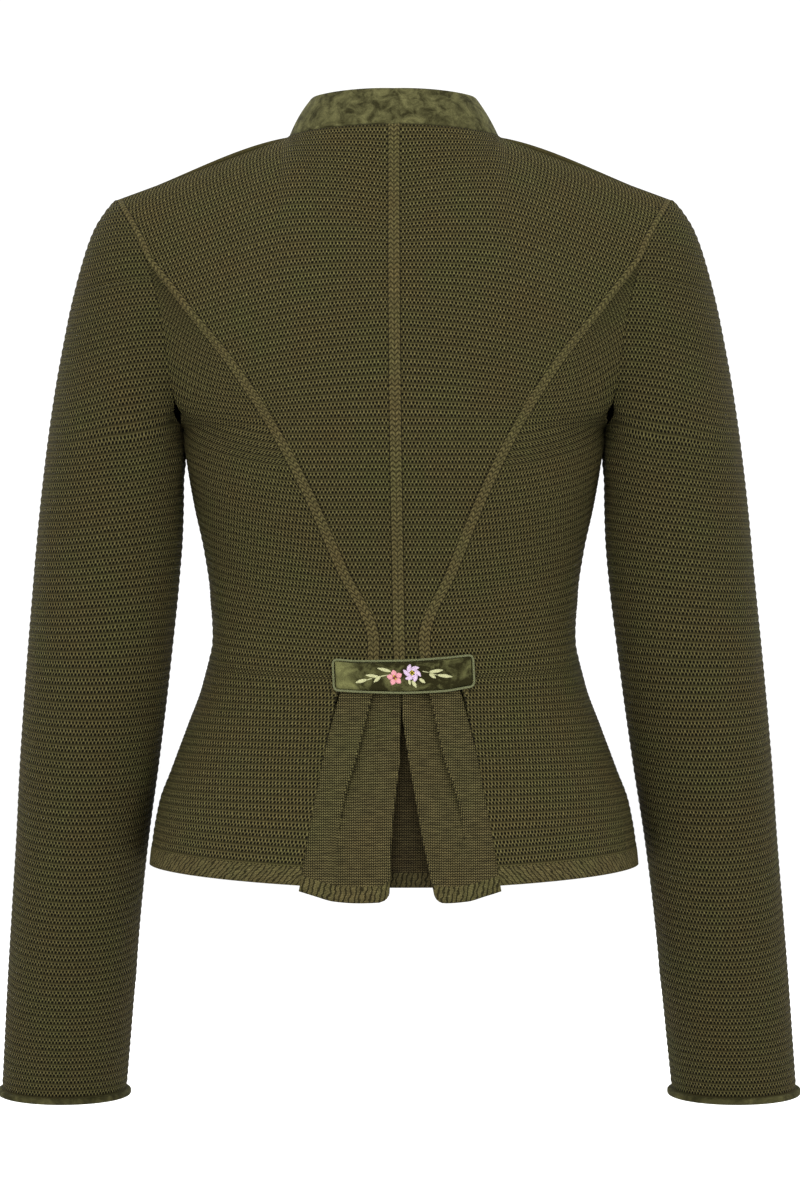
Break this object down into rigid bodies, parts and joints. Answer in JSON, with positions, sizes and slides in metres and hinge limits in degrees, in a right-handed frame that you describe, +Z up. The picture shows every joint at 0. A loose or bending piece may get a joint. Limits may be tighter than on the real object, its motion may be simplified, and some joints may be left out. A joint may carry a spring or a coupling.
{
  "type": "trachten cardigan",
  "caption": "Waisted knitted cardigan with a velvet stand collar, princess seams, long sleeves, a velvet waist tab and a fan of pleats at the back, in its worn form.",
  "frame": {"origin": "between the shoulders at the level of the neck base, where the wearer's shoulders hold the garment up", "axes": "+Z up, the front of the garment faces -Y, +X is the wearer's left"},
  "size_m": [0.573, 0.2524, 0.7145],
  "materials": {
    "ridged_knit": "matt ridged wool and cotton knit, dark olive",
    "jersey": "fine plain knit, dark olive",
    "velvet": "short mottled pile with a soft sheen, olive green",
    "piping": "satin cord, light olive",
    "button": "dark olive horn look, satin"
  },
  "bodies": {
    "root": {"back_centre_left": "ridged_knit", "back_centre_right": "ridged_knit", "back_side_left": "ridged_knit", "back_side_right": "ridged_knit", "front_left": "ridged_knit", "front_right": "ridged_knit", "sleeve_left": "ridged_knit", "sleeve_right": "ridged_knit", "cuff_left": "velvet", "cuff_right": "velvet", "collar": "velvet", "tab": "velvet", "tab_piping": "piping", "pleats": "jersey", "button_1": "button", "button_2": "button", "button_3": "button", "button_4": "button", "button_5": "button", "button_6": "button", "button_7": "button"}
  },
  "joints": []
}
